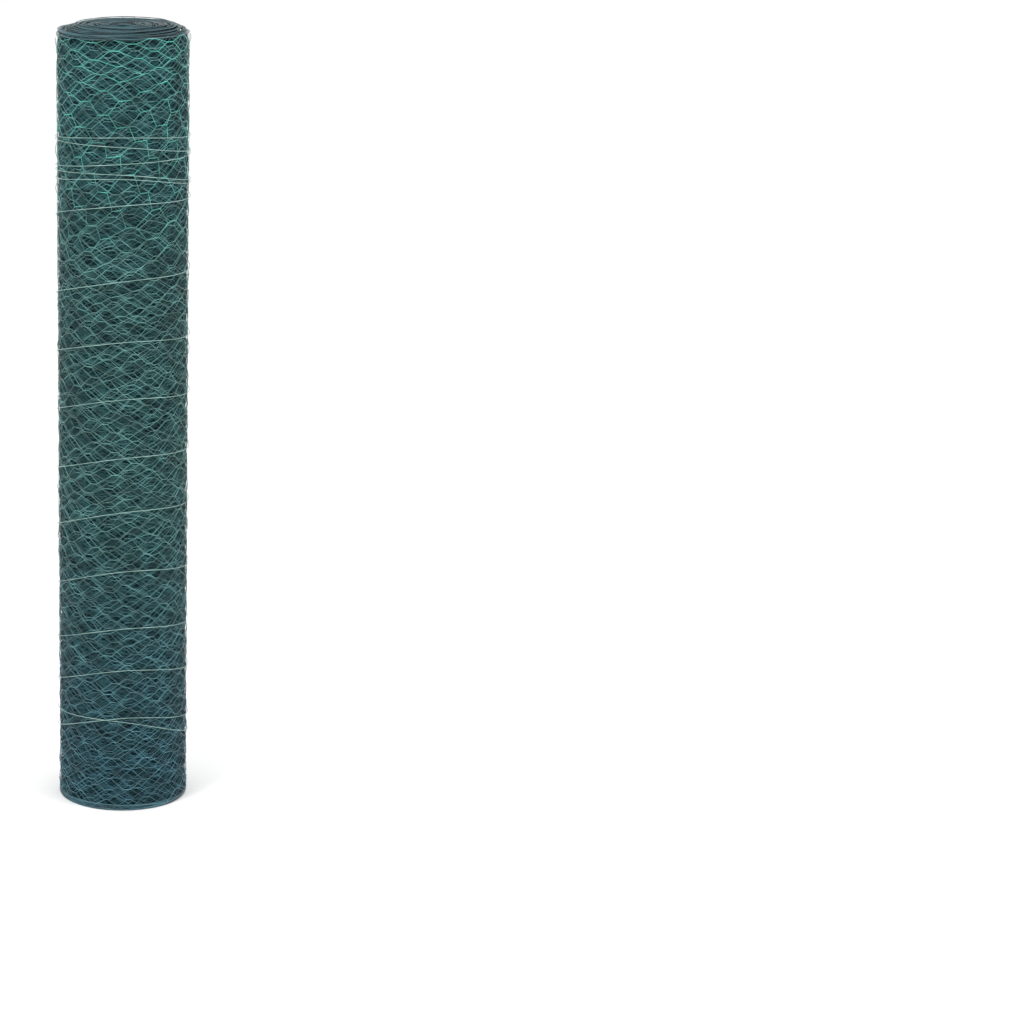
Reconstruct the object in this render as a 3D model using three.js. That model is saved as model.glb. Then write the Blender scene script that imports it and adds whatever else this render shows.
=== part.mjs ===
// A roll of plastic coated hexagonal wire netting, standing on its end, held shut by a wound wire.
// Millimetres, +Z up. The origin is the middle of the roll's foot, so the roll stands on z = 0.
import * as THREE from 'three';

// The roll: netting of this width, wound into a hollow cylinder.
const nettingWidth = 1500;
const rollDiameter = 250;
const boreDiameter = 40;

// The turns on the ends. One ring stands for a few turns of netting, with a groove to the next.
const ringPitch = 10;
const grooveWidth = 2.5;
const grooveDepth = 5;

// The outermost turns have slipped down a little, so their rings end lower at the top.
const slippedRings = 2;
const slipPerRing = 3;

// The binding wire lies on the roll with this clearance, and rises this far around a crossing.
const bindingDiameter = 1.2;
const bindingClearance = 0.3;
const hopTurns = 0.05;

// The binding wire's route, laid by hand. Each row is one lap, with its heights at the left side,
// the front, the right side and the back. The foot laps are measured up from the foot.
const footLaps = [
  [177, 180, 127, 126],
  [139, 188, 164, 184],
];

// The climbing laps are measured up from where the climb starts. They climb this far as laid, and
// are stretched to fill the length between the foot laps and the top laps.
const climbStart = 231;
const climbAsLaid = 911;
const climbLaps = [
  [0, 52, 30, 45],
  [85, 135, 123, 145],
  [193, 248, 236, 265],
  [310, 364, 361, 378],
  [421, 469, 467, 488],
  [536, 582, 574, 598],
  [649, 691, 685, 710],
  [762, 806, 813, 845],
];

// The top laps are measured down from the roll's top.
const topLaps = [
  [358, 321, 322, 306],
  [289, 272, 297, 290],
  [272, 264, 290, 282],
  [264, 244, 241, 234],
  [215, 213, 236, 228],
  [210, 195, 208, 205],
];

// How finely the round shapes are cut.
const rollSides = 40;
const wireStepsPerTurn = 40;
const wireSides = 6;

// How often the search for the crossing halves its range.
const crossingHalvings = 30;

// Where a wire lies over another one, its middle rises by this many of its diameters.
const hopDiameters = 2;

const lapPoints = 4;
const rollRadius = rollDiameter / 2;
const boreRadius = boreDiameter / 2;
const wallThickness = rollRadius - boreRadius;

const coatedNetting = new THREE.MeshStandardMaterial({
  color: 0x2f6f66,
  roughness: 0.45,
  metalness: 0.0,
});

const zincWire = new THREE.MeshStandardMaterial({
  color: 0xa9adab,
  roughness: 0.42,
  metalness: 1.0,
});

// The rings of one end, from the bore outwards: each has an inner and an outer radius and the
// distance that it stands back from the end.
function endRings(slip) {
  const count = Math.max(1, Math.round(wallThickness / ringPitch));
  const pitch = wallThickness / count;
  const rings = [];
  for (let i = 0; i < count; i += 1) {
    const fromOutside = count - 1 - i;
    rings.push({
      inner: i === 0 ? boreRadius : boreRadius + i * pitch + grooveWidth / 2,
      outer: fromOutside === 0 ? rollRadius : boreRadius + (i + 1) * pitch - grooveWidth / 2,
      back: Math.max(0, slippedRings - fromOutside) * slip,
    });
  }
  return rings;
}

// The stepped outline of one end, as points of radius and distance back from the end.
function endOutline(slip) {
  const rings = endRings(slip);
  const points = [];
  rings.forEach((ring, i) => {
    points.push([ring.inner, ring.back]);
    points.push([ring.outer, ring.back]);
    if (i < rings.length - 1) {
      const floor = Math.max(ring.back, rings[i + 1].back) + grooveDepth;
      points.push([ring.outer, floor]);
      points.push([rings[i + 1].inner, floor]);
    }
  });
  return points;
}

// The roll: the outline of its foot and top, turned about Z.
function nettingRoll() {
  const foot = endOutline(0).map(([r, back]) => new THREE.Vector2(r, back));
  const top = endOutline(slipPerRing).map(([r, back]) => new THREE.Vector2(r, nettingWidth - back));
  const outline = [...foot, ...top.reverse()];
  outline.push(outline[0].clone());
  const geometry = new THREE.LatheGeometry(outline, rollSides);
  geometry.rotateX(Math.PI / 2);
  const mesh = new THREE.Mesh(geometry, coatedNetting);
  mesh.name = 'netting_roll';
  return mesh;
}

// The heights of the binding wire, four to a lap, from its end near the foot to its end near the top.
function routeHeights() {
  const fromTop = topLaps.flat().map((down) => nettingWidth - down);
  const climbEnd = nettingWidth - topLaps[0][0];
  const stretch = (climbEnd - climbStart) / climbAsLaid;
  const climb = climbLaps.flat().map((up) => climbStart + stretch * up);
  return [...footLaps.flat(), ...climb, ...fromTop];
}

// The run of the binding wire's middle line. Its second lap passes over the first one, where their
// heights are the same.
class WoundRun extends THREE.Curve {
  constructor() {
    super();
    const heights = routeHeights();
    this.turns = (heights.length - 1) / lapPoints;
    this.heights = new THREE.SplineCurve(heights.map((z, i) => new THREE.Vector2(i, z)));
    const wireRadius = bindingDiameter / 2;
    const toMiddle = rollRadius + bindingClearance + wireRadius;
    this.radius = toMiddle / Math.cos(Math.PI / wireStepsPerTurn);
    this.crossing = this.findCrossing();
    this.arcLengthDivisions = Math.ceil(this.turns * wireStepsPerTurn);
  }

  height(turn) {
    return this.heights.getPoint(turn / this.turns).y;
  }

  // The turn, on the second lap between its left side and its front, where it is as high as the
  // first lap.
  findCrossing() {
    let low = 1;
    let high = 1 + 1 / lapPoints;
    for (let i = 0; i < crossingHalvings; i += 1) {
      const middle = (low + high) / 2;
      if (this.height(middle) < this.height(middle - 1)) {
        low = middle;
      } else {
        high = middle;
      }
    }
    return (low + high) / 2;
  }

  lift(turn) {
    const away = Math.abs(turn - this.crossing) / hopTurns;
    const hop = hopDiameters * bindingDiameter;
    return away < 1 ? (hop * (1 + Math.cos(Math.PI * away))) / 2 : 0;
  }

  getPoint(t, target = new THREE.Vector3()) {
    const turn = t * this.turns;
    const angle = 2 * Math.PI * turn;
    const radius = this.radius + this.lift(turn);
    return target.set(-radius * Math.cos(angle), -radius * Math.sin(angle), this.height(turn));
  }
}

// The wire: a round section carried along its run.
function bindingWire() {
  const run = new WoundRun();
  const corners = [];
  for (let i = 0; i < wireSides; i += 1) {
    const angle = (2 * Math.PI * i) / wireSides;
    const corner = new THREE.Vector2(Math.cos(angle), Math.sin(angle));
    corners.push(corner.multiplyScalar(bindingDiameter / 2));
  }
  const geometry = new THREE.ExtrudeGeometry(new THREE.Shape(corners), {
    steps: Math.ceil(run.turns * wireStepsPerTurn),
    extrudePath: run,
    bevelEnabled: false,
  });
  const mesh = new THREE.Mesh(geometry, zincWire);
  mesh.name = 'binding_wire';
  return mesh;
}

const group = new THREE.Group();
group.add(nettingRoll());
group.add(bindingWire());

export default group;
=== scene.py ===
# %% [markdown]
# A roll of hexagonal wire netting, standing on its end.
# The netting is steel wire in a green plastic coat. It is one long strip, wound into a hollow roll,
# and a thin zinc coated wire is wound around the outside to hold it shut.
# Units are metres and +Z is up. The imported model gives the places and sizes, and this script
# gives the looks. First it loads that model and keeps its box.

# %% Load the frame
import math

import bmesh
import bpy
import numpy as np
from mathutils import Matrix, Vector


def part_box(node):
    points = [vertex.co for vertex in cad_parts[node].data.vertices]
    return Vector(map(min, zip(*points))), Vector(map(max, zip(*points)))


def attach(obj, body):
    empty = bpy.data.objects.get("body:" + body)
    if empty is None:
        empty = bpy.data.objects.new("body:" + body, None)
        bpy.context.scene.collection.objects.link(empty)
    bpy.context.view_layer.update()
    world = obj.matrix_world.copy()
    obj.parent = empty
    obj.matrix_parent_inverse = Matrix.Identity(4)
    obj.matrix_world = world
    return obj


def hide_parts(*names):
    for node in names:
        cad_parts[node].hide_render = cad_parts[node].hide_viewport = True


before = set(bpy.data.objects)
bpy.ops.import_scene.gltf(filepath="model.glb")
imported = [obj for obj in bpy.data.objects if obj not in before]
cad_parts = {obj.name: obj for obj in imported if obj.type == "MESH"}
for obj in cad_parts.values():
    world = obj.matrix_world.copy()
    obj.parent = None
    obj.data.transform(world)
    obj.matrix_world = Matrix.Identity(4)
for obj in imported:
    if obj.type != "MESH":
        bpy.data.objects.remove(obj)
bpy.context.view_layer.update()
roll_low, roll_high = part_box("netting_roll")
print("roll box", roll_low, roll_high)

# %% [markdown]
# These are the sizes of the netting. The twisted sides of its cells run around the roll, and the
# rows of twists lie one above the other. The rows are a fixed height apart, so the netting's width
# is a whole number of rows between its two edge wires. The wire's thickness is a guess, made a
# little finer than the real coated wire, because fine lines look closer to it from afar.

# %% Sizes of the netting
MM = 0.001
NETTING_WIDTH = roll_high.z - roll_low.z
ROLL_RADIUS = (roll_high.x - roll_low.x) / 2
BORE_RADIUS = 20 * MM
WIRE = 0.95 * MM
EDGE_WIRE = 1.5 * MM
ROW_HEIGHT = 20.5 * MM
CELL_PERIOD = 78 * MM
TWIST_LENGTH = 16 * MM
TURN_GAP = 1.91 * MM
ROWS = round((NETTING_WIDTH - EDGE_WIRE) / ROW_HEIGHT)
OUTER_SET_IN = 1.7 * MM
OUTER_RADIUS = ROLL_RADIUS - OUTER_SET_IN
TURNS = round((OUTER_RADIUS - BORE_RADIUS) / TURN_GAP)
rng = np.random.default_rng(7)
print("rows", ROWS, "turns", TURNS)

# %% [markdown]
# The strip is wound in a spiral. A length measured along the strip, from its outer end inwards,
# gives the angle that has been wound, because each turn lies a little further in than the last.
# The winding starts at the back of the roll. The outermost turns are drawn closer together than
# real ones can lie, so their wires pass through each other. That shows many turns at once, which
# looks as dense as a real roll with far fewer wires to draw.

# %% The spiral that the strip follows
OUTER_END = math.radians(128)


def wound_angle(length):
    """The angle wound, from the outer end, after this length of strip."""
    inner = OUTER_RADIUS**2 - TURN_GAP * length / math.pi
    return 2 * math.pi / TURN_GAP * (OUTER_RADIUS - np.sqrt(np.maximum(inner, 0)))


def wound_length(angle):
    """The length of strip that is wound over this angle."""
    return OUTER_RADIUS * angle - TURN_GAP * angle**2 / (4 * math.pi)


NESTED_TURNS = 18
NESTED_DEPTH = 6.0 * MM


def turn_depth(angle):
    """How deep a wound angle lies. The nested outer turns are drawn closer than real ones."""
    turns = angle / (2 * math.pi)
    return np.interp(turns, [0, NESTED_TURNS, TURNS], [0, NESTED_DEPTH, OUTER_RADIUS - BORE_RADIUS])


TUCK = 4.5 * MM
TUCK_START = 55 * MM
TUCK_LENGTH = 45 * MM


def tucked(angle, height):
    """Near the top the turns inside the outermost one stand a little away from it."""
    near_top = np.clip((height - NETTING_WIDTH + TUCK_START) / TUCK_LENGTH, 0, 1)
    inside = np.clip(angle / (2 * math.pi) - 0.6, 0, 1)
    return TUCK * near_top**2 * inside


def spiral_place(length, height, proud):
    """Points in space from lengths along the strip, heights, and how far they stand proud."""
    angle = wound_angle(length)
    radius = OUTER_RADIUS - turn_depth(angle) - tucked(angle, height) + proud
    turned = OUTER_END + angle
    return np.stack([radius * np.cos(turned), radius * np.sin(turned), height], axis=-1)


strip_length = wound_length(2 * math.pi * TURNS)
print("strip length in metres", round(strip_length, 2))

# %% [markdown]
# Netting that has been rolled is never even. Each cell is pulled a little, and the cells lean
# in soft waves. The waves here are sums of a few sines with drawn phases, so they are smooth,
# they differ from turn to turn, and they come out the same each time the script runs.

# %% Soft waves in the netting
WAVES = 7
wave_length = rng.uniform(0.09, 0.42, (3, WAVES))
wave_height = rng.uniform(0.05, 0.30, (3, WAVES))
wave_phase = rng.uniform(0, 2 * math.pi, (3, WAVES))
wave_sign = rng.choice([-1.0, 1.0], (3, WAVES))


def waves(kind, length, height):
    """A smooth number between about -1 and 1 for each place on the strip."""
    total = 0
    for n in range(WAVES):
        along = length / wave_length[kind, n] * wave_sign[kind, n]
        up = height / wave_height[kind, n]
        total = total + np.sin(2 * math.pi * (along + up) + wave_phase[kind, n])
    return total / WAVES * 1.6


DRIFT = 9 * MM
DRIFT_LENGTHS = (0.62, 1.07, 2.30, 3.70)
HELD_BAND = 0.16


def drift(length, height):
    """How far the rows of a turn have drifted up or down. The edges can't drift."""
    total = sum(np.sin(2 * math.pi * length / long + n) for n, long in enumerate(DRIFT_LENGTHS))
    free = np.clip(np.minimum(height, NETTING_WIDTH - height) / HELD_BAND, 0, 1)
    return DRIFT * total / 2 * free


SLIP = 11 * MM
SHOULDER = 24 * MM
LIFT = 11 * MM
WANDER = 8 * MM
WANDER_LENGTHS = (0.083, 0.241)


def edge_wander(length, shift):
    """A number from 0 to 1 that wanders along the strip, from turn to turn."""
    short, long = WANDER_LENGTHS
    fast, slow = np.sin(length / short + shift), np.sin(length / long + 2 * shift)
    return 0.5 + 0.25 * (fast + slow)


def slipped(length):
    """How far the upper edge of a turn has slipped down: most on the outermost turns."""
    deep = turn_depth(wound_angle(length))
    return SLIP * np.clip(1 - deep / SHOULDER, 0, 1) + WANDER * edge_wander(length, 0.4)


def lifted(length):
    """How far the lower edge of an outer turn is off the floor."""
    deep = turn_depth(wound_angle(length))
    return LIFT * np.clip(1 - deep / SHOULDER, 0, 1) * edge_wander(length, 2.0)


# %% [markdown]
# The outermost turn has come loose below the top: there its cells are pulled wide open, and
# lean. A window function says how strongly a place is inside that patch. The heights of the rows
# are spread around the middle of it, and each row is pushed sideways against the one below.

# %% The loose patch of the outermost turn
LOOSE_MIDDLE = 1.225
LOOSE_HALF = 0.105
LOOSE_SPREAD = 0.072
LOOSE_LEAN = 0.016
LOOSE_SHEAR = 0.6
OUTER_TURN_FADE = 0.6
FRONT = math.radians(262)


def loose_window(height):
    across = (height - LOOSE_MIDDLE) / LOOSE_HALF
    return np.exp(-0.5 * across**2)


def loosened(length, height):
    """How far a place on the outermost turn is moved up, and how loose it is."""
    angle = wound_angle(length)
    on_outer_turn = np.clip((2 * math.pi - angle) / OUTER_TURN_FADE, 0, 1)
    turned = OUTER_END + angle
    facing = 0.5 + 0.5 * np.cos(turned - FRONT)
    loose = loose_window(height) * on_outer_turn * facing
    across = (height - LOOSE_MIDDLE) / LOOSE_HALF
    up = LOOSE_SPREAD * across * loose + LOOSE_LEAN * np.sin(turned - FRONT) * loose
    return up, loose


# %% [markdown]
# Each row of twists is the place where two neighbouring wires are wound around each other. A
# table holds, for every row and every twist along the strip, where the middle of the twist is,
# how long it is and how it leans. Both wires read the same table, so they always meet. The top
# quarter of a turn follows its slipped upper edge, and the lowest sixth its lifted lower edge.

# %% The table of twists
ROW_SHAKE = 0.42
TWIST_SHAKE = 0.65
TWIST_SPREAD = (0.60, 1.15)
TWIST_LEAN = 0.14
LOOSE_TWIST_GROWTH = 0.60
LOOSE_TWIST_LEAN = 0.11
PROUD = 1.7 * MM
PROUD_LIMIT = 0.5


class TwistTable:
    """The twists of one stretch of strip, from one length to another."""

    def __init__(self, start, stop, shake):
        half = CELL_PERIOD / 2
        self.first = math.floor(start / half)
        count = math.ceil(stop / half) - self.first + 1
        rows = np.arange(ROWS + 1)[:, None]
        steps = self.first + np.arange(count)[None, :]
        base = rows * (NETTING_WIDTH - EDGE_WIRE) / ROWS + EDGE_WIRE / 2
        length = np.repeat(steps * half, ROWS + 1, axis=0).astype(float)
        near_top = np.clip(base / NETTING_WIDTH * 4 - 3, 0, 1)
        near_foot = np.clip(1 - base / NETTING_WIDTH * 6, 0, 1)
        edge_height = base - slipped(length) * near_top + lifted(length) * near_foot
        height = edge_height + drift(length, edge_height)
        inside = np.sin(np.pi * np.clip(base / NETTING_WIDTH, 0, 1)) ** 0.25
        edge = (rows == 0) | (rows == ROWS)
        inside = np.where(edge, 0, inside)
        up, loose = loosened(length, height)
        self.height = height + up
        self.height += inside * shake * waves(0, length, height)
        self.height += inside * rng.normal(0, ROW_SHAKE * shake, height.shape)
        self.length = length + inside * 1.2 * shake * waves(1, length, height)
        self.length += inside * rng.normal(0, TWIST_SHAKE * shake, height.shape)
        self.length += LOOSE_SHEAR * (height - LOOSE_MIDDLE) * loose
        grown = 1 + LOOSE_TWIST_GROWTH * loose
        self.half = TWIST_LENGTH / 2 * grown * rng.uniform(*TWIST_SPREAD, height.shape)
        self.lean = inside * rng.normal(0.0, TWIST_LEAN, height.shape)
        self.lean += LOOSE_TWIST_LEAN * loose
        self.proud = PROUD * np.minimum(waves(2, length, height), PROUD_LIMIT)
        low, high = EDGE_WIRE, NETTING_WIDTH - EDGE_WIRE
        self.height = np.where(edge, edge_height, np.clip(self.height, low, high))


# %% [markdown]
# One wire of the netting runs the whole length of the strip. It winds around its lower
# neighbour, crosses over to its upper neighbour, winds around that, and so on. So the points of
# a wire are made from the table, twist by twist, with a few points inside each twist that go
# round the twist's own middle line, and a few on each slanting side between two twists.

# %% The points of one wire
def wire_points(table, wire, start, stop, twist_steps, twist_turns, side_steps):
    """Length, height and proud distance of the points along one wire of a table."""
    columns = np.arange(table.height.shape[1])
    steps = table.first + columns
    row = np.where((steps + wire) % 2 == 0, wire, wire + 1)
    above = row == wire
    middle = table.length[row, columns]
    height = table.height[row, columns]
    half = table.half[row, columns]
    lean = table.lean[row, columns]
    proud = table.proud[row, columns]
    share = np.linspace(0, 1, twist_steps + 1)[None, :]
    along = (2 * share - 1) * half[:, None]
    turn = 2 * np.pi * twist_turns * share + np.where(above, 0.5, -0.5)[:, None] * np.pi
    reach = WIRE / 2
    place = np.stack(
        [
            middle[:, None] + along * np.cos(lean)[:, None],
            height[:, None] + along * np.sin(lean)[:, None] + reach * np.sin(turn),
            proud[:, None] + reach * np.cos(turn),
        ],
        axis=-1,
    )
    if side_steps > 1:
        between = np.linspace(0, 1, side_steps + 1)[None, 1:-1, None]
        gap_start, gap_stop = place[:-1, -1:, :], place[1:, :1, :]
        sides = gap_start + (gap_stop - gap_start) * between
        sides = np.concatenate([sides, sides[-1:]], axis=0)
        place = np.concatenate([place, sides], axis=1)
        place = place.reshape(-1, 3)[: -(side_steps - 1)]
    else:
        place = place.reshape(-1, 3)
    place[:, 1] = np.clip(place[:, 1], WIRE, NETTING_WIDTH - WIRE)
    keep = (place[:, 0] >= start) & (place[:, 0] <= stop)
    return place[keep]


# %% [markdown]
# A wire is a curve with a small thickness. All wires of a stretch are splines of one curve
# object, which is then turned into one mesh. The thickness of a curve is a ring of four sides
# for the turns that are seen best, and three sides further in, because hundreds of thousands
# of faces would otherwise be spent on wires that hardly show.

# %% Curves to wires
def ring_profile(name, sides, radius):
    """A closed ring of a few sides, which gives the wires their thickness."""
    data = bpy.data.curves.new(name, "CURVE")
    data.dimensions = "2D"
    spline = data.splines.new("POLY")
    spline.points.add(sides - 1)
    for n, point in enumerate(spline.points):
        angle = 2 * math.pi * (n + 0.5) / sides
        point.co = (radius * math.cos(angle), radius * math.sin(angle), 0, 1)
    spline.use_cyclic_u = True
    holder = bpy.data.objects.new(name, data)
    bpy.context.scene.collection.objects.link(holder)
    return holder


def wires_to_mesh(name, strands, sides, thickness, cyclic=False):
    """One mesh object with a tube along each strand of points."""
    profile = ring_profile(name + "_ring", sides, thickness / 2)
    data = bpy.data.curves.new(name, "CURVE")
    data.dimensions = "3D"
    data.bevel_mode = "OBJECT"
    data.bevel_object = profile
    data.use_fill_caps = not cyclic
    for points in strands:
        spline = data.splines.new("POLY")
        spline.points.add(len(points) - 1)
        flat = np.ones((len(points), 4), np.float32)
        flat[:, :3] = points
        spline.points.foreach_set("co", flat.ravel())
        spline.use_cyclic_u = cyclic
        spline.use_smooth = True
    holder = bpy.data.objects.new(name + "_curve", data)
    bpy.context.scene.collection.objects.link(holder)
    depsgraph = bpy.context.evaluated_depsgraph_get()
    mesh = bpy.data.meshes.new_from_object(holder.evaluated_get(depsgraph))
    mesh.name = name
    piece = bpy.data.objects.new(name, mesh)
    bpy.context.scene.collection.objects.link(piece)
    for old in (holder, profile):
        bpy.data.objects.remove(old)
    mesh.calc_loop_triangles()
    print(name, "triangles", len(mesh.loop_triangles))
    return piece


# %% [markdown]
# The coat of the netting is a green plastic with a soft shine. Real coats vary a little: the
# colour drifts along the wire. The deeper turns get darker, bluer copies of the coat: painted
# shade.
# The colour is worked out from the place on the roll, with noise at two scales, and a slight
# unevenness of the coat goes into the bump.

# %% Materials
def new_material(name):
    material = bpy.data.materials.new(name)
    material.use_nodes = True
    tree = material.node_tree
    shader = tree.nodes["Principled BSDF"]
    return material, tree, shader


def node(tree, kind, **settings):
    made = tree.nodes.new(kind)
    for key, value in settings.items():
        setattr(made, key, value)
    return made


def colour_ramp(tree, stops):
    ramp = node(tree, "ShaderNodeValToRGB")
    elements = ramp.color_ramp.elements
    while len(elements) < len(stops):
        elements.new(0.5)
    for element, (place, colour) in zip(elements, stops):
        element.position = place
        element.color = (*colour, 1)
    return ramp


def noise(tree, vector, scale, detail=2.0):
    made = node(tree, "ShaderNodeTexNoise")
    made.inputs["Scale"].default_value = scale
    made.inputs["Detail"].default_value = detail
    tree.links.new(vector, made.inputs["Vector"])
    return made.outputs["Fac"]


def maths(tree, operation, first, second):
    made = node(tree, "ShaderNodeMath", operation=operation)
    for socket, value in zip(made.inputs, (first, second)):
        if isinstance(value, (int, float)):
            socket.default_value = value
        else:
            tree.links.new(value, socket)
    return made.outputs["Value"]


def mapped(tree, value, low, high, to_low, to_high):
    """A value carried from one range to another, and held inside it."""
    made = node(tree, "ShaderNodeMapRange")
    limits = {"From Min": low, "From Max": high, "To Min": to_low, "To Max": to_high}
    for name, limit in limits.items():
        made.inputs[name].default_value = limit
    tree.links.new(value, made.inputs["Value"])
    return made.outputs["Result"]


def tone_by_turn(tree, parts):
    """Noise that differs from turn to turn, and changes slowly around the roll."""
    across = maths(tree, "POWER", parts.outputs["X"], 2)
    along = maths(tree, "POWER", parts.outputs["Y"], 2)
    radius = maths(tree, "SQRT", maths(tree, "ADD", across, along), 0)
    place = node(tree, "ShaderNodeCombineXYZ")
    tree.links.new(maths(tree, "MULTIPLY", radius, 450), place.inputs["X"])
    tree.links.new(maths(tree, "DIVIDE", parts.outputs["X"], radius), place.inputs["Y"])
    tree.links.new(maths(tree, "DIVIDE", parts.outputs["Y"], radius), place.inputs["Z"])
    return noise(tree, place.outputs["Vector"], 1.0, 1.0)


COAT_DRIFT = (0.50, 1.55)
EDGE_DRIFT = (0.15, 2.60)
DRIFT_NOISE = (0.32, 0.68)
PATCH_SCALE = 38.0
GRAIN_SCALE = 900.0
GRAIN_STRENGTH = 0.25
GRAIN_DEPTH = 0.2 * MM
GLOSS_ROUGHNESS = 0.25


def coat_material(name, foot, middle, top, roughness, shine, by_turn=False):
    """A plastic coat whose green drifts, and goes from bluer at the foot to greener at the top."""
    material, tree, shader = new_material(name)
    place = node(tree, "ShaderNodeTexCoord").outputs["Object"]
    parts = node(tree, "ShaderNodeSeparateXYZ")
    tree.links.new(place, parts.inputs["Vector"])
    stops = [(0.06, foot), (0.42, middle), (0.70, middle), (0.84, top)]
    by_height = colour_ramp(tree, stops)
    share = mapped(tree, parts.outputs["Z"], 0, NETTING_WIDTH, 0, 1)
    tree.links.new(share, by_height.inputs["Fac"])
    patches = tone_by_turn(tree, parts) if by_turn else noise(tree, place, PATCH_SCALE, 3.0)
    least, most = EDGE_DRIFT if by_turn else COAT_DRIFT
    drifting = mapped(tree, patches, *DRIFT_NOISE, least, most)
    tint = node(tree, "ShaderNodeVectorMath", operation="SCALE")
    tree.links.new(by_height.outputs["Color"], tint.inputs[0])
    tree.links.new(drifting, tint.inputs["Scale"])
    tree.links.new(tint.outputs["Vector"], shader.inputs["Base Color"])
    bump = node(tree, "ShaderNodeBump")
    bump.inputs["Strength"].default_value = GRAIN_STRENGTH
    bump.inputs["Distance"].default_value = GRAIN_DEPTH
    tree.links.new(noise(tree, place, GRAIN_SCALE), bump.inputs["Height"])
    tree.links.new(bump.outputs["Normal"], shader.inputs["Normal"])
    shader.inputs["Roughness"].default_value = roughness
    shader.inputs["Coat Weight"].default_value = shine
    shader.inputs["Coat Roughness"].default_value = GLOSS_ROUGHNESS
    return material


# Lit and shaded copies of one coat. The outermost is the lightest, and much lighter near the top:
# painted light. Each copy further in is darker and bluer: painted shade.
outer_coat_painted_light = coat_material(
    "coat_outer_painted_light", (0.054, 0.165, 0.212), (0.086, 0.240, 0.220), (0.062, 0.375, 0.310), 0.36, 0.45
)
second_coat_painted_shade = coat_material(
    "coat_second_painted_shade", (0.054, 0.158, 0.200), (0.088, 0.220, 0.206), (0.088, 0.236, 0.226), 0.40, 0.30
)
middle_coat_painted_shade = coat_material(
    "coat_middle_painted_shade", (0.046, 0.134, 0.168), (0.070, 0.180, 0.174), (0.068, 0.190, 0.188), 0.42, 0.30
)
deep_coat_painted_shade = coat_material(
    "coat_deep_painted_shade", (0.022, 0.070, 0.094), (0.029, 0.088, 0.090), (0.024, 0.086, 0.094), 0.55, 0.05
)
# A dark copy of the coat for the selvages on the roll's ends and the sprung wires: painted shade.
edge_coat_painted_shade = coat_material(
    "coat_edges_painted_shade", (0.024, 0.074, 0.094), (0.030, 0.074, 0.084), (0.019, 0.053, 0.063), 0.42, 0.20,
    by_turn=True,
)
DULL_SPECULAR = 0.2
for material in (middle_coat_painted_shade, deep_coat_painted_shade):
    shader = material.node_tree.nodes["Principled BSDF"]
    shader.inputs["Specular IOR Level"].default_value = DULL_SPECULAR


def dress(piece, material):
    """Gives a netting piece its coat, and lets it stand for the plain roll."""
    piece.data.materials.clear()
    piece.data.materials.append(material)
    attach(piece, "root")
    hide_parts("netting_roll")
    return piece


# %% [markdown]
# Now the turns themselves. The outermost turn has its wires really wound around each other.
# The next four have the same with fewer points, and the thirteen turns under them have straight
# twists. Each stretch starts where the one outside it stops, as the strip is one piece.

# %% The turns of netting
FINE = {"sides": 4, "twist_steps": 8, "twist_turns": 2, "side_steps": 3}
MEDIUM = {"sides": 3, "twist_steps": 6, "twist_turns": 1, "side_steps": 2}
PLAIN = {"sides": 3, "twist_steps": 1, "twist_turns": 0, "side_steps": 1}
ALL_WIRES = range(ROWS)
SHAKE = 3.4 * MM


def turns_of_netting(name, first_turn, last_turn, material, detail, wires=ALL_WIRES):
    """A piece with some turns of the netting, or only some of its wires."""
    start = wound_length(2 * math.pi * first_turn)
    stop = wound_length(2 * math.pi * last_turn)
    table = TwistTable(start, stop, SHAKE)
    shape = {key: value for key, value in detail.items() if key != "sides"}
    strands = []
    for wire in wires:
        points = wire_points(table, wire, start, stop, **shape)
        strands.append(spiral_place(points[:, 0], points[:, 1], points[:, 2]))
    return dress(wires_to_mesh(name, strands, detail["sides"], WIRE), material)


# Each stretch gets a darker coat the deeper it lies: painted shade.
turns_of_netting("outermost_turn", 0, 1, outer_coat_painted_light, FINE)
turns_of_netting("second_turn", 1, 2, second_coat_painted_shade, MEDIUM)
turns_of_netting("third_turn", 2, 3, second_coat_painted_shade, MEDIUM)
turns_of_netting("fourth_turn", 3, 4, middle_coat_painted_shade, MEDIUM)
turns_of_netting("fifth_turn", 4, 5, middle_coat_painted_shade, MEDIUM)
turns_of_netting("sixth_to_eleventh_turn", 5, 11, deep_coat_painted_shade, PLAIN)
turns_of_netting("twelfth_to_eighteenth_turn", 11, NESTED_TURNS, deep_coat_painted_shade, PLAIN)

# %% [markdown]
# Further in, the turns only show at the two ends of the roll, so only their last wires are made
# there. Around the bore the innermost turns are whole again, because they show through it.

# %% Turns that show at the ends and in the bore
BORE_TURNS = 3
END_WIRES = 3
end_wires = [*range(END_WIRES), *range(ROWS - END_WIRES, ROWS)]
turns_of_netting("end_turns", NESTED_TURNS, TURNS - BORE_TURNS, deep_coat_painted_shade, PLAIN, end_wires)
# The innermost turns get a lighter coat than the deep ones around them: painted light where the
# bore is lit.
turns_of_netting("bore_turns", TURNS - BORE_TURNS, TURNS, middle_coat_painted_shade, PLAIN)

# %% [markdown]
# Along both edges of the strip runs a selvage: two thicker wires side by side that the netting's
# outermost wires are wound around. Wound up, the selvages are what shows as the turns on the ends.

# %% Selvages
SELVAGE_STEPS = 30
WEAVE = 0.25 * MM
WEAVE_LENGTH = 0.011
WIRE_APART = 0.45 * MM
SWAY = 0.5 * MM
SWAY_LENGTH = 0.043


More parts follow.
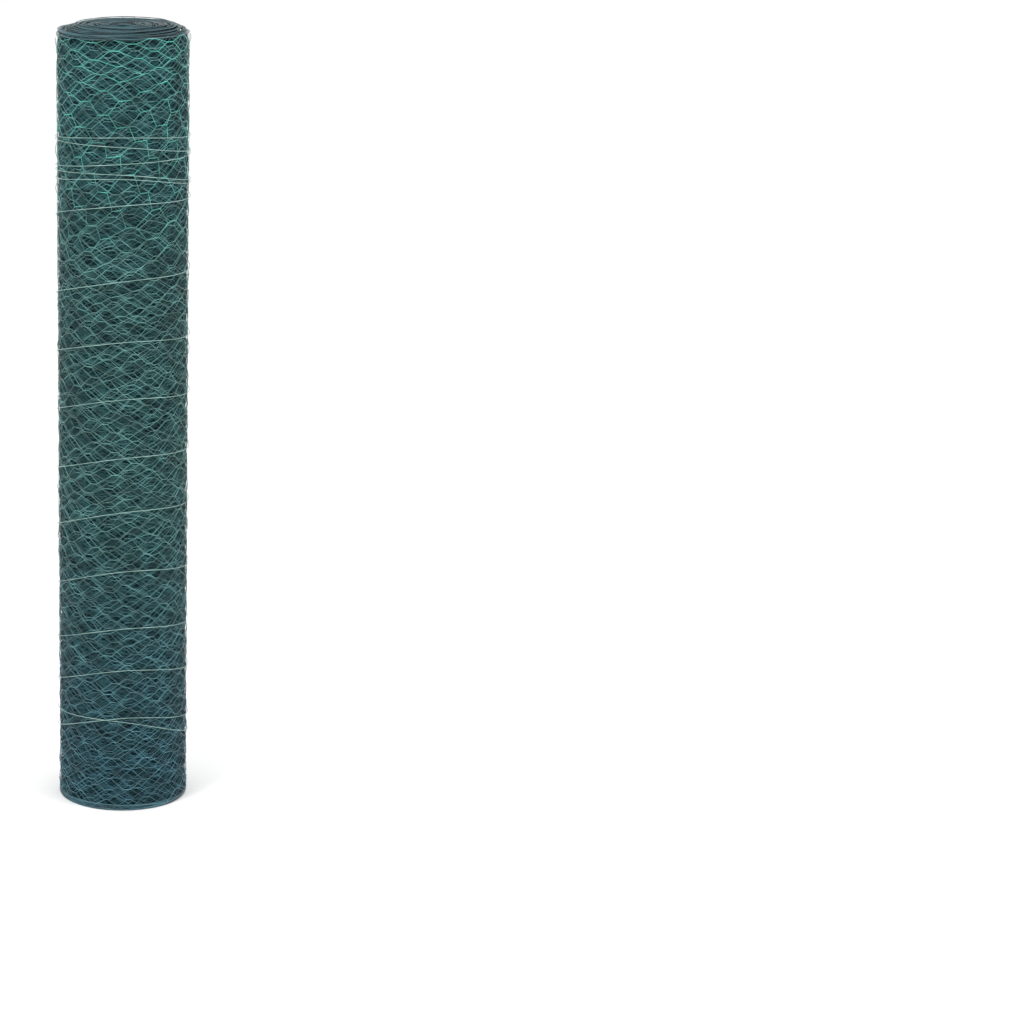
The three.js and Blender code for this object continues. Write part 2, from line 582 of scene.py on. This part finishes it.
def selvage(name, at_top):
    count = TURNS * SELVAGE_STEPS
    length = np.linspace(0, strip_length, count)
    strands = []
    for side in (-1, 1):
        weave = WEAVE * np.sin(length / WEAVE_LENGTH + side)
        if at_top:
            height = NETTING_WIDTH - EDGE_WIRE / 2 - slipped(length) + weave
        else:
            height = EDGE_WIRE / 2 + lifted(length) + weave
        height = np.clip(height, EDGE_WIRE / 2, NETTING_WIDTH - EDGE_WIRE / 2)
        proud = side * WIRE_APART + SWAY * np.sin(length / SWAY_LENGTH + side)
        strands.append(spiral_place(length, height, proud))
    # The selvages take the dark edge coat: painted shade on the roll's ends.
    return dress(wires_to_mesh(name, strands, 3, EDGE_WIRE), edge_coat_painted_shade)


selvage("top_selvage", True)
selvage("foot_selvage", False)

# %% [markdown]
# A few wires of the outermost turn have sprung out of the roll. Each is a small bow that leaves the
# roll at one height and comes back at another, or ends in the air as a cut wire does.

# %% Wires that have sprung out
BOW_STEPS = 14
BOW_SET_IN = 1.5 * MM
BOW_TURN = 0.06


def bow(turned, low, high, reach, stop=1.0):
    """A bow of wire at an angle around the roll. It ends in the air where stop is under 1."""
    share = np.linspace(0, stop, BOW_STEPS)
    radius = OUTER_RADIUS - BOW_SET_IN + reach * np.sin(math.pi * share)
    angle = math.radians(turned) + BOW_TURN * share
    height = low + (high - low) * share
    return np.stack([radius * np.cos(angle), radius * np.sin(angle), height], axis=-1)


def sprung_wires():
    strands = [
        bow(178, 1.450, 1.486, 3.6 * MM, 0.6),
        bow(183, 1.246, 1.284, 4.4 * MM),
        bow(180, 1.178, 1.205, 4.0 * MM),
        bow(176, 0.602, 0.622, 3.8 * MM),
        bow(181, 0.510, 0.528, 3.6 * MM),
        bow(-2, 1.462, 1.484, 4.0 * MM, 0.8),
        bow(2, 0.868, 0.900, 3.8 * MM),
    ]
    # They share the dark edge coat: painted shade.
    dress(wires_to_mesh("sprung_wires", strands, 4, WIRE), edge_coat_painted_shade)


sprung_wires()

# %% [markdown]
# Between the turns that are made as wires lies a dark core, which stands for the many turns that
# only show as a dark tangle. Its darkness is painted shade, for the light that the turns outside
# it hold back. It is a thick ring, spun from its section, with its ends set back from the roll's
# ends. Its colour is netting drawn seven times over itself, ever darker, which is painted shade
# for the deeper turns: each layer is a net of thin lines, worked out from the angle around the
# roll and the height. This is only a pattern on a smooth ring, which does because it lies behind
# eighteen turns of real wire.

# %% Core
CORE_SET_BACK = 11 * MM
CORE_SHOULDER = 20 * MM
CORE_OUTER = OUTER_RADIUS - NESTED_DEPTH - 0.3 * MM
CORE_INNER = BORE_RADIUS + 6 * MM
CORE_STEPS = 96
MERGE_DISTANCE = 0.1 * MM


def make_core(material):
    bm = bmesh.new()
    low, high = CORE_SET_BACK, NETTING_WIDTH - CORE_SET_BACK
    corners = [
        (CORE_INNER, low), (CORE_OUTER, low), (CORE_OUTER, high - CORE_SHOULDER),
        (CORE_OUTER - CORE_SHOULDER, high), (CORE_INNER, high),
    ]
    ring = [bm.verts.new((radius, 0, height)) for radius, height in corners]
    edges = [bm.edges.new((ring[n - 1], ring[n])) for n in range(len(ring))]
    bmesh.ops.spin(
        bm, geom=ring + edges, cent=(0, 0, 0), axis=(0, 0, 1), angle=2 * math.pi,
        steps=CORE_STEPS, use_merge=True,
    )
    bmesh.ops.remove_doubles(bm, verts=bm.verts, dist=MERGE_DISTANCE)
    bmesh.ops.recalc_face_normals(bm, faces=bm.faces)
    mesh = bpy.data.meshes.new("core_painted_shade")
    bm.to_mesh(mesh)
    bm.free()
    core = bpy.data.objects.new("core_painted_shade", mesh)
    bpy.context.scene.collection.objects.link(core)
    return dress(core, material)


CELL_UNEVENNESS = 0.42
FIRST_OFFSET = 0.3
NEXT_OFFSET = 3.7
OFFSET_STEP = 5.3
# Each deeper layer of the core's netting is drawn darker: painted shade.
DEEPER_LAYER_SHADES = (0.95, 0.85, 0.70, 0.60, 0.50, 0.40)


def net_layer(tree, place, offset, line, bright):
    """One net of thin lines: bright on a line, and nought in an opening."""
    moved = node(tree, "ShaderNodeMapping")
    moved.inputs["Location"].default_value = (offset, offset * 1.7, 0)
    moved.inputs["Rotation"].default_value = (0, 0, math.radians(45))
    tree.links.new(place, moved.inputs["Vector"])
    cells = node(tree, "ShaderNodeTexVoronoi", voronoi_dimensions="2D", feature="DISTANCE_TO_EDGE")
    cells.inputs["Randomness"].default_value = CELL_UNEVENNESS
    cells.inputs["Scale"].default_value = 1.0
    tree.links.new(moved.outputs["Vector"], cells.inputs["Vector"])
    return mapped(tree, cells.outputs["Distance"], line, 2 * line, bright, 0)


# The core's ends, and the openings of its netting, keep this low lightness: painted shade.
CORE_SHADE_LEVEL = 0.10
CORE_LINE = 0.011


def core_shade_material():
    """Ever darker layers of netting on the core's sides, and plain dark ends: painted shade."""
    material, tree, shader = new_material("core_tangle_painted_shade")
    coords = node(tree, "ShaderNodeTexCoord")
    place = node(tree, "ShaderNodeSeparateXYZ")
    tree.links.new(coords.outputs["Object"], place.inputs["Vector"])
    angle = maths(tree, "ARCTAN2", place.outputs["Y"], place.outputs["X"])
    around = maths(tree, "MULTIPLY", angle, CORE_OUTER / CELL_PERIOD * math.sqrt(2))
    up = maths(tree, "MULTIPLY", place.outputs["Z"], math.sqrt(2) / (2 * ROW_HEIGHT))
    flat = node(tree, "ShaderNodeCombineXYZ")
    tree.links.new(around, flat.inputs["X"])
    tree.links.new(up, flat.inputs["Y"])
    total = net_layer(tree, flat.outputs["Vector"], FIRST_OFFSET, CORE_LINE, 1.0)
    for n, bright in enumerate(DEEPER_LAYER_SHADES):
        offset = NEXT_OFFSET + OFFSET_STEP * n
        layer = net_layer(tree, flat.outputs["Vector"], offset, CORE_LINE, bright)
        total = maths(tree, "MAXIMUM", total, layer)
    normal = node(tree, "ShaderNodeSeparateXYZ")
    tree.links.new(coords.outputs["Normal"], normal.inputs["Vector"])
    on_side = maths(tree, "SUBTRACT", 1.0, maths(tree, "ABSOLUTE", normal.outputs["Z"], 0))
    total = maths(tree, "ADD", maths(tree, "MULTIPLY", total, on_side), CORE_SHADE_LEVEL)
    # From near black to a dark teal: the core's colour, darkened as painted shade.
    ramp = colour_ramp(tree, [(0.0, (0.001, 0.007, 0.010)), (1.0, (0.026, 0.090, 0.096))])
    tree.links.new(total, ramp.inputs["Fac"])
    tree.links.new(ramp.outputs["Color"], shader.inputs["Base Color"])
    shader.inputs["Roughness"].default_value = 0.7
    shader.inputs["Specular IOR Level"].default_value = 0.05
    return material


make_core(core_shade_material())

# %% [markdown]
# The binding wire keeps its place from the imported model. There it is a coarse tube, so it is made
# again here as a finer one along the same laps. Each row below is one lap, with its heights at the
# left side, the front, the right side and the back, and a smooth curve passes through them all.

# %% Binding wire
BINDING = 1.2 * MM
BINDING_CLEARANCE = 0.3 * MM
HOP_TURNS = 0.05
LAP_POINTS = 4
BINDING_STEPS = 72
CROSSING_TRIES = 400
LAPS = (
    (177, 180, 127, 126), (139, 188, 164, 184),
    (231, 283, 261, 276), (316, 366, 354, 376), (424, 479, 467, 496), (541, 595, 592, 609),
    (652, 700, 698, 719), (767, 813, 805, 829), (880, 922, 916, 941), (993, 1037, 1044, 1076),
    (1142, 1179, 1178, 1194), (1211, 1228, 1203, 1210), (1228, 1236, 1210, 1218),
    (1236, 1256, 1259, 1266), (1285, 1287, 1264, 1272), (1290, 1305, 1292, 1295),
)


def lap_height(turn):
    """The height of the binding wire after this many turns: a Catmull-Rom curve of the laps."""
    heights = np.array(LAPS).ravel() * MM
    place = np.clip(turn * LAP_POINTS, 0, len(heights) - 1)
    start = np.minimum(place.astype(int), len(heights) - 2)
    share = place - start
    last = len(heights) - 1
    a, b = heights[np.maximum(start - 1, 0)], heights[start]
    c, d = heights[start + 1], heights[np.minimum(start + 2, last)]
    first, second = (c - a) / 2, (d - b) / 2
    curve = (2 * b - 2 * c + first + second) * share**3
    return curve + (3 * c - 3 * b - 2 * first - second) * share**2 + first * share + b


def binding_wire(material):
    turns = (len(LAPS) * LAP_POINTS - 1) / LAP_POINTS
    turn = np.linspace(0, turns, round(turns * BINDING_STEPS))
    early = np.linspace(1, 1 + 1 / LAP_POINTS, CROSSING_TRIES)
    crossing = early[np.argmin(np.abs(lap_height(early) - lap_height(early - 1)))]
    away = np.clip(np.abs(turn - crossing) / HOP_TURNS, 0, 1)
    radius = ROLL_RADIUS + BINDING_CLEARANCE + BINDING / 2 + BINDING * (1 + np.cos(math.pi * away))
    angle = math.pi + 2 * math.pi * turn
    points = np.stack([radius * np.cos(angle), radius * np.sin(angle), lap_height(turn)], axis=-1)
    piece = wires_to_mesh("wound_binding_wire", [points], 6, BINDING)
    piece.data.materials.clear()
    piece.data.materials.append(material)
    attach(piece, "root")
    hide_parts("binding_wire")


def zinc_material():
    """Dull zinc: grey metal with faint lighter and darker stretches."""
    material, tree, shader = new_material("zinc_wire")
    place = node(tree, "ShaderNodeTexCoord").outputs["Object"]
    ramp = colour_ramp(tree, [(0.35, (0.22, 0.36, 0.33)), (0.70, (0.40, 0.58, 0.54))])
    tree.links.new(noise(tree, place, 40.0, 3.0), ramp.inputs["Fac"])
    tree.links.new(ramp.outputs["Color"], shader.inputs["Base Color"])
    shader.inputs["Metallic"].default_value = 0.75
    shader.inputs["Roughness"].default_value = 0.45
    return material


binding_wire(zinc_material())

# %% [markdown]
# The floor, the light and the camera. The roll is photographed on white, so the floor and the
# surroundings are white, with large soft lamps above and in front.

# %% Floor and light
scene = bpy.context.scene
scene.view_settings.view_transform = "Standard"
FLOOR_RADIUS = 60.0
FLOOR_SEGMENTS = 96


def make_floor():
    bm = bmesh.new()
    bmesh.ops.create_circle(bm, cap_ends=True, segments=FLOOR_SEGMENTS, radius=FLOOR_RADIUS)
    mesh = bpy.data.meshes.new("floor")
    bm.to_mesh(mesh)
    bm.free()
    floor = bpy.data.objects.new("floor", mesh)
    scene.collection.objects.link(floor)
    material, tree, shader = new_material("floor_white")
    shader.inputs["Base Color"].default_value = (0.86, 0.86, 0.86, 1)
    shader.inputs["Roughness"].default_value = 0.9
    mesh.materials.append(material)


def make_world(strength):
    world = bpy.data.worlds.new("white_surround")
    world.use_nodes = True
    background = world.node_tree.nodes["Background"]
    background.inputs["Color"].default_value = (1, 1, 1, 1)
    background.inputs["Strength"].default_value = strength
    scene.world = world


def soft_lamp(name, place, target, size, power):
    data = bpy.data.lights.new(name, "AREA")
    data.shape = "DISK"
    data.size = size
    data.energy = power
    lamp = bpy.data.objects.new(name, data)
    lamp.location = place
    lamp.rotation_euler = (Vector(target) - Vector(place)).to_track_quat("-Z", "Y").to_euler()
    scene.collection.objects.link(lamp)


make_floor()
make_world(1.15)
soft_lamp("top_left_lamp", (-2.2, -2.6, 3.6), (0, 0, 1.0), 1.6, 90)
soft_lamp("top_right_lamp", (2.6, -1.6, 3.2), (0, 0, 0.8), 1.6, 50)

# %% [markdown]
# The camera stands a few metres away and looks down by about 15 degrees, so that the top shows as
# a thin ellipse and the foot as a rounder one. The roll stands left of the middle of the picture,
# which a sideways shift of the lens gives without turning the roll. The focal length and the tilt
# are found in small steps, so that the roll fills the rows that it should.

# %% Camera
FRAME_PIXELS = 1024
ROLL_COLUMN = 123
TOP_ROW = 14
FOOT_ROW = 811
FITTING_STEPS = 60
CAMERA_DISTANCE = 6.5
CAMERA_HEIGHT = 2.32


def make_camera():
    data = bpy.data.cameras.new("camera")
    data.sensor_width = 36
    camera = bpy.data.objects.new("camera", data)
    scene.collection.objects.link(camera)
    top = math.atan((CAMERA_HEIGHT - NETTING_WIDTH) / (CAMERA_DISTANCE + ROLL_RADIUS))
    foot = math.atan(CAMERA_HEIGHT / (CAMERA_DISTANCE - ROLL_RADIUS))
    middle = FRAME_PIXELS / 2
    focal, tilt = 2500.0, (top + foot) / 2
    for _ in range(FITTING_STEPS):
        up = math.tan(tilt - top) * focal
        down = math.tan(foot - tilt) * focal
        focal *= (FOOT_ROW - TOP_ROW) / (up + down)
        tilt += ((middle - TOP_ROW) - up) / focal * 0.5
    data.lens = focal / FRAME_PIXELS * data.sensor_width
    data.shift_x = (middle - ROLL_COLUMN) / FRAME_PIXELS
    camera.location = (0, -CAMERA_DISTANCE, CAMERA_HEIGHT)
    camera.rotation_euler = (math.pi / 2 - tilt, 0, 0)
    data.clip_end = 200
    scene.camera = camera
    print("lens", round(data.lens, 1), "tilt", round(math.degrees(tilt), 2))


make_camera()
